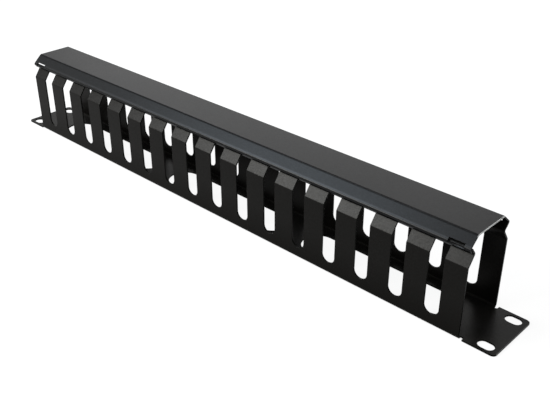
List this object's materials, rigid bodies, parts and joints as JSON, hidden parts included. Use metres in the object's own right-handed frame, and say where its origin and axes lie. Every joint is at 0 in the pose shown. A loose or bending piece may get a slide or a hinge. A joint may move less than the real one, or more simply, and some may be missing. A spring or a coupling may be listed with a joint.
{
  "type": "horizontal cable manager",
  "caption": "19-inch rack cable manager: a folded steel duct with finger combs along both sides, slotted ears and a cover that clips over the fingers.",
  "frame": {"origin": "centre of the back face of the rack panel", "axes": "+X along the panel between the ears, +Y across the rack unit, +Z away from the rack, towards the cover"},
  "size_m": [0.4826, 0.044, 0.0684],
  "materials": {
    "duct_body": "black satin powder coat on steel sheet",
    "snap_cover": "black satin powder coat on steel sheet"
  },
  "bodies": {
    "duct": {"duct_body": "duct_body"},
    "cover": {"snap_cover": "snap_cover"}
  },
  "joints": [
    {"name": "cover_pivot", "type": "hinge", "parent": "duct", "child": "cover", "pos_m": [0, 0.01915, 0.05849], "axis": [-1, 0, 0], "range_deg": [0, 100]}
  ]
}
